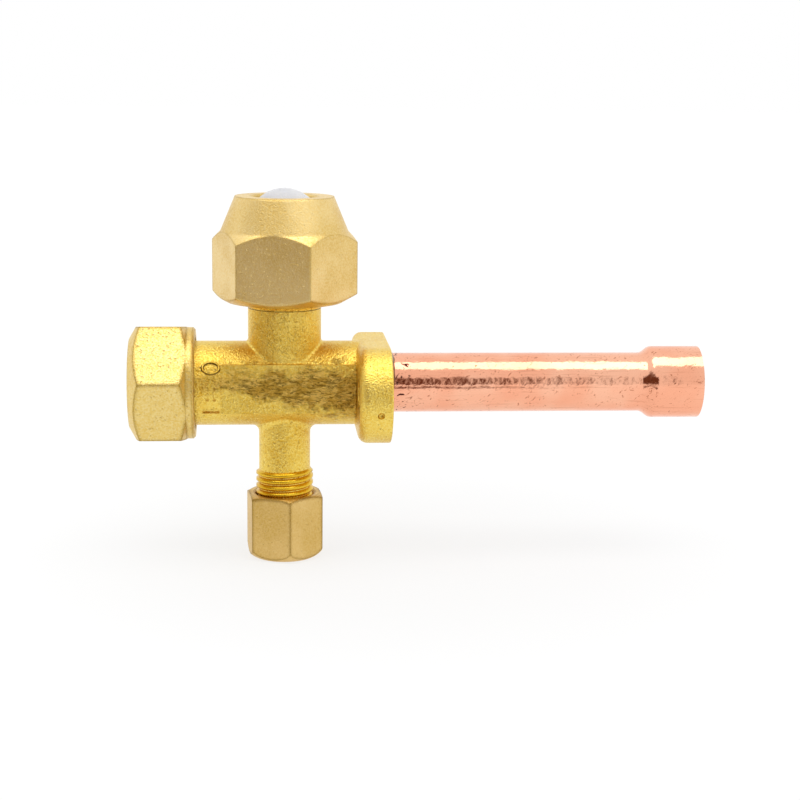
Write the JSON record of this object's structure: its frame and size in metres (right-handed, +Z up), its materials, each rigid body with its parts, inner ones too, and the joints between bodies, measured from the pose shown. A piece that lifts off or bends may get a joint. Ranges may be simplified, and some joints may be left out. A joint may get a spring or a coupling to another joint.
{
  "type": "refrigerant service valve",
  "caption": "Brass refrigerant service valve with a flanged body, brazed copper stub, flare port with nut and plug, hexagon stem cap and capped charging port.",
  "frame": {"origin": "centre of the flange's bracket face, on the stub's axis", "axes": "+X along the stub, away from the body; +Z up the flare connection; +Y along the flange's bolt line"},
  "size_m": [0.0915, 0.0304, 0.0594],
  "materials": {
    "forged_brass": "satin, blasted",
    "nut_brass": "satin",
    "cap_brass": "satin",
    "turned_brass": "turned",
    "copper": "bright",
    "braze_filler": "satin",
    "spring_steel": "satin",
    "plug_plastic": "moulded",
    "core_plastic": "moulded",
    "gasket": "matte",
    "seal_rubber": "matte"
  },
  "bodies": {
    "body": {"valve_body": "forged_brass", "stub_tube": "copper", "braze_fillet": "braze_filler", "retaining_ring": "spring_steel", "core_head": "turned_brass", "core_barrel": "turned_brass", "core_barrel_seal": "core_plastic", "core_spring": "spring_steel"},
    "stem_slider": {"stem_o_ring": "seal_rubber"},
    "stem": {"stem": "turned_brass"},
    "stem_cap_slider": {"stem_cap_gasket": "gasket"},
    "stem_cap": {"stem_cap": "cap_brass"},
    "flare_nut_slider": {"flare_plug": "plug_plastic"},
    "flare_nut": {"flare_nut": "nut_brass"},
    "service_cap_slider": {"service_cap_seal": "seal_rubber"},
    "service_cap": {"service_cap": "cap_brass"},
    "core_pin": {"core_pin": "turned_brass", "core_washer": "core_plastic", "core_cup": "turned_brass"}
  },
  "joints": [
    {"name": "stem_travel", "type": "slide", "parent": "body", "child": "stem_slider", "axis": [-1, 0, 0], "range_m": [0, 0.005]},
    {"name": "stem_turn", "type": "hinge", "parent": "stem_slider", "child": "stem", "pos_m": [0, 0, 0], "axis": [-1, 0, 0], "range_deg": [0, 1440]},
    {"name": "stem_cap_travel", "type": "slide", "parent": "body", "child": "stem_cap_slider", "axis": [-1, 0, 0], "range_m": [0, 0.009]},
    {"name": "stem_cap_turn", "type": "hinge", "parent": "stem_cap_slider", "child": "stem_cap", "pos_m": [0, 0, 0], "axis": [-1, 0, 0], "range_deg": [0, 3240]},
    {"name": "flare_nut_travel", "type": "slide", "parent": "body", "child": "flare_nut_slider", "axis": [0, 0, 1], "range_m": [0, 0.01129]},
    {"name": "flare_nut_turn", "type": "hinge", "parent": "flare_nut_slider", "child": "flare_nut", "pos_m": [-0.0164, 0, 0], "axis": [0, 0, 1], "range_deg": [0, 2880]},
    {"name": "service_cap_travel", "type": "slide", "parent": "body", "child": "service_cap_slider", "axis": [0, 0, -1], "range_m": [0, 0.0095]},
    {"name": "service_cap_turn", "type": "hinge", "parent": "service_cap_slider", "child": "service_cap", "pos_m": [-0.0164, 0, 0], "axis": [0, 0, -1], "range_deg": [0, 3420]},
    {"name": "core_pin_press", "type": "slide", "parent": "body", "child": "core_pin", "axis": [0, 0, 1], "range_m": [0, 0.0015], "stiffness_N_per_m": 1500, "springref_m": -0.001, "deforming": ["core_spring"]}
  ],
  "couplings": [
    {"joint": "stem_turn", "follows": "stem_travel", "rad_per_m": 5026.5},
    {"joint": "stem_cap_turn", "follows": "stem_cap_travel", "rad_per_m": 6283.2},
    {"joint": "flare_nut_turn", "follows": "flare_nut_travel", "rad_per_m": 4453},
    {"joint": "service_cap_turn", "follows": "service_cap_travel", "rad_per_m": 6283.2}
  ]
}
